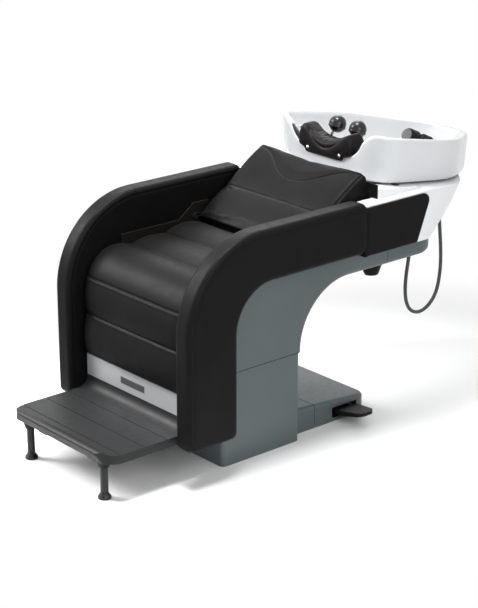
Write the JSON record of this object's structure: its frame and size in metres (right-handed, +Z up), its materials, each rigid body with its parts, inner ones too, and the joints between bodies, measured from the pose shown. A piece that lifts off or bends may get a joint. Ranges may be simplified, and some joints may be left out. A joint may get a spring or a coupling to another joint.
{
  "type": "backwash unit",
  "caption": "Salon backwash unit: a lifting upholstered shampoo chair with curved arms, a reclining back, a footstep and a tilting white bowl with hand shower behind the neck rest.",
  "frame": {"origin": "on the floor, in the middle of the four anchor holes under the column", "axes": "+X is the pedal side, +Y runs from the footstep to the bowl, +Z is up"},
  "size_m": [0.69, 1.76, 0.967],
  "materials": {
    "black_vinyl": "matt black upholstery vinyl with a fine grain",
    "brown_vinyl": "dark brown vinyl",
    "neck_pad": "soft moulded neck cushion",
    "soft_pad": "black rubber",
    "grey_cover": "satin grey moulding with a green cast",
    "white_shell": "white gloss moulding",
    "white_bowl": "white glazed bowl",
    "frame_steel": "black powder coat",
    "bright_steel": "ground steel",
    "chrome": "polished",
    "brushed_plate": "brushed along its length",
    "step_plastic": "charcoal textured moulding",
    "black_plastic": "black moulding",
    "shower_rose": "dark grey spray face",
    "hose_sleeve": "dark grey sleeved hose",
    "pipe_plastic": "light grey pipe",
    "valve_brass": "cast body",
    "plywood": "plywood"
  },
  "bodies": {
    "base": {"base_plate": "frame_steel", "column_lower_cover": "grey_cover", "base_front_cover": "grey_cover", "base_rear_cover": "grey_cover", "lift_mast": "frame_steel", "lift_cylinder": "bright_steel", "hydraulic_pump": "frame_steel", "pedal_bracket": "frame_steel", "pedal_pin": "bright_steel", "step_plate": "step_plastic", "kick_plate": "brushed_plate", "step_frame": "frame_steel", "step_sockets": "black_plastic", "step_legs": "frame_steel", "step_feet": "soft_pad"},
    "pedal": {"foot_pedal": "black_plastic", "pedal_lever": "frame_steel"},
    "chair": {"carriage_tube": "frame_steel", "lift_rod": "bright_steel", "cantilever_frame": "frame_steel", "column_upper_cover": "grey_cover", "rear_under_cover": "grey_cover", "trap_cover": "black_plastic", "seat_board": "plywood", "seat_cushion": "black_vinyl", "left_arm": "black_vinyl", "right_arm": "black_vinyl", "bowl_housing": "white_shell", "left_side_panel": "black_vinyl", "right_side_panel": "black_vinyl", "housing_apron": "brown_vinyl", "bowl_carrier": "white_shell", "bowl_buffers": "soft_pad", "bowl_hinge_brackets": "frame_steel", "bowl_hinge_shaft": "bright_steel", "back_hinge_plates": "frame_steel", "back_hinge_pins": "bright_steel", "arm_linings": "brown_vinyl", "recline_actuator": "frame_steel", "recline_rod": "bright_steel", "waste_trap": "pipe_plastic", "mixing_valve": "valve_brass", "hose_glands": "black_plastic", "shower_hose": "hose_sleeve"},
    "back": {"backrest_cushion": "black_vinyl", "backrest_frame": "frame_steel"},
    "bowl": {"basin": "white_bowl", "drain_strainer": "chrome", "drain_tail": "pipe_plastic", "neck_cushion": "neck_pad", "neck_studs": "chrome", "shower_socket": "black_plastic", "mixer_cartridge": "black_plastic"},
    "head_support": {"head_support_bracket": "bright_steel", "head_support_pads": "soft_pad"},
    "shower": {"shower_handle": "black_plastic", "shower_face": "shower_rose"},
    "knob": {"mixer_knob": "black_plastic"}
  },
  "joints": [
    {"name": "lift", "type": "slide", "parent": "base", "child": "chair", "axis": [0, 0, 1], "range_m": [0, 0.12]},
    {"name": "pedal_press", "type": "hinge", "parent": "base", "child": "pedal", "pos_m": [0.15, 0.41, 0.024], "axis": [0, 1, 0], "range_deg": [0, 8], "stiffness_Nm_per_rad": 6, "springref_deg": -14.32},
    {"name": "recline", "type": "hinge", "parent": "chair", "child": "back", "pos_m": [0, 0.168, 0.65], "axis": [1, 0, 0], "range_deg": [0, 35]},
    {"name": "bowl_tilt", "type": "hinge", "parent": "chair", "child": "bowl", "pos_m": [0, 1.055, 0.754], "axis": [-1, 0, 0], "range_deg": [0, 8]},
    {"name": "head_support_tilt", "type": "hinge", "parent": "bowl", "child": "head_support", "pos_m": [0, 0.594, 0.868], "axis": [1, 0, 0], "range_deg": [-15, 15]},
    {"name": "shower_draw", "type": "slide", "parent": "bowl", "child": "shower", "axis": [0, -0.907, 0.421], "range_m": [0, 0.12]},
    {"name": "mixer_turn", "type": "hinge", "parent": "bowl", "child": "knob", "pos_m": [0.098, 0.975, 0.79404], "axis": [-0.254, -0.4674, 0.8468], "range_deg": [-45, 45]}
  ]
}
